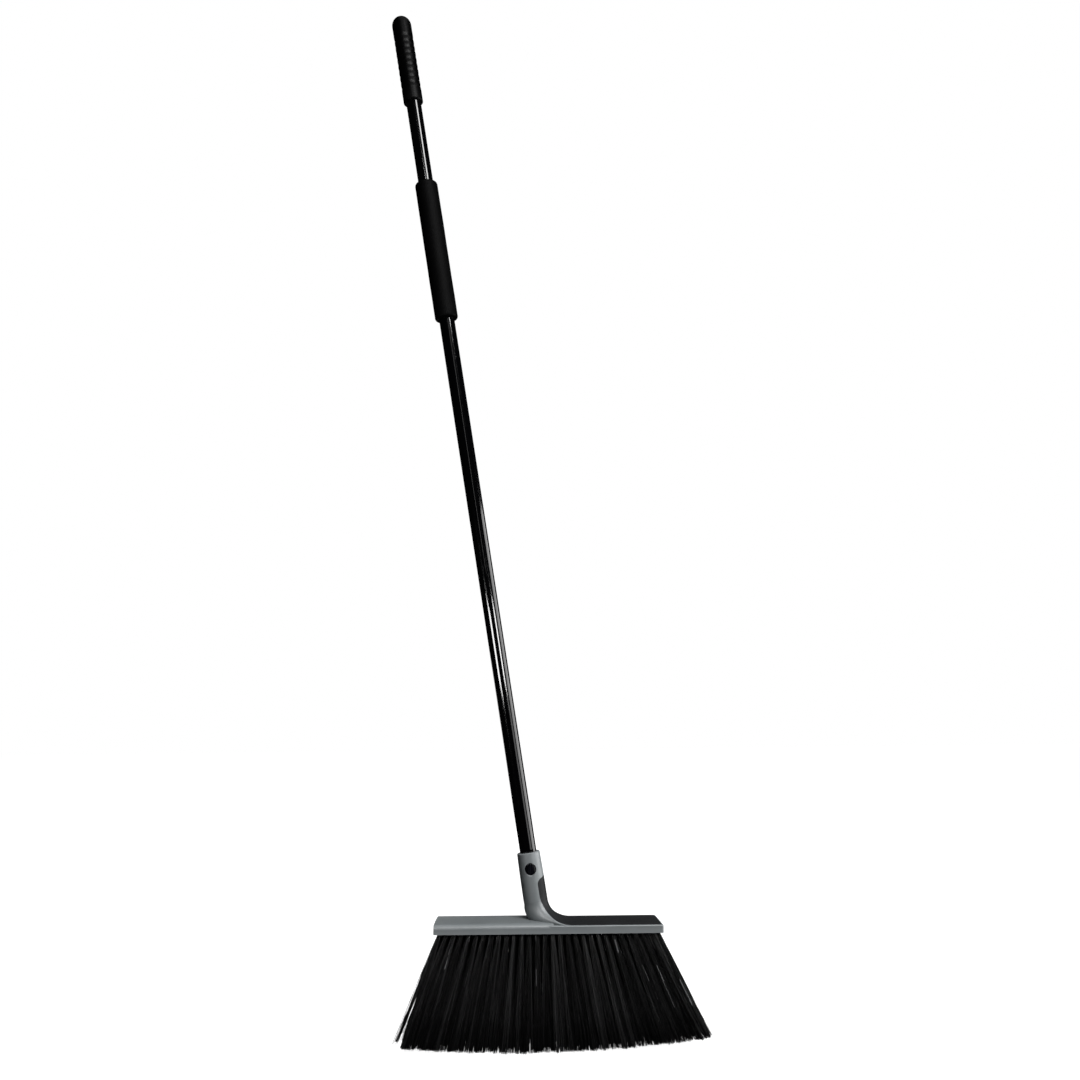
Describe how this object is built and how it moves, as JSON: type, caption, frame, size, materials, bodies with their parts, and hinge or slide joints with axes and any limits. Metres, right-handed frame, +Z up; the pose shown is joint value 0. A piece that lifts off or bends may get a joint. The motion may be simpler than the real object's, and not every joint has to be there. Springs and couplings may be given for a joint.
{
  "type": "upright angle broom",
  "caption": "Upright broom with a leaning tube handle, foam sleeve, ribbed end grip and a long head whose black bristles flare out to both sides.",
  "frame": {"origin": "on the floor, under the middle of the box round the whole broom, with the bristle tips standing on it", "axes": "+Z is up, +X runs along the head from its plain grey end to the end with the soft pad, and +Y points from the front, where the snap button shows, to the back"},
  "size_m": [0.4317, 0.0768, 1.4798],
  "materials": {
    "head_grey": "satin moulded plastic, mid grey",
    "inlay_dark": "matt soft-touch overmould, charcoal",
    "block_black": "matt black moulded plastic",
    "bristle_black": "matt black filament with flagged tips",
    "plain_steel": "drawn steel, uncoated",
    "tube_black": "gloss black powder coat",
    "plug_black": "matt black moulded plastic",
    "button_black": "polished black plastic",
    "foam_black": "matt closed-cell foam",
    "grip_black": "matt soft rubber"
  },
  "bodies": {
    "broom": {"head_cover": "head_grey", "soft_inlay": "inlay_dark", "brush_block": "block_black", "block_screws": "plain_steel", "bristle_row_1": "bristle_black", "bristle_row_2": "bristle_black", "bristle_row_3": "bristle_black", "bristle_row_4": "bristle_black", "bristle_row_5": "bristle_black", "tuft_anchors": "plain_steel", "handle_tube": "tube_black", "tube_foot_plug": "plug_black", "tube_head_plug": "plug_black", "button_spring": "plain_steel", "foam_sleeve": "foam_black", "end_grip": "grip_black"},
    "button": {"snap_button": "button_black"}
  },
  "joints": [
    {"name": "button_press", "type": "slide", "parent": "broom", "child": "button", "axis": [0, 1, 0], "range_m": [0, 0.004], "stiffness_N_per_m": 2000, "springref_m": -0.003, "deforming": ["button_spring"]}
  ]
}
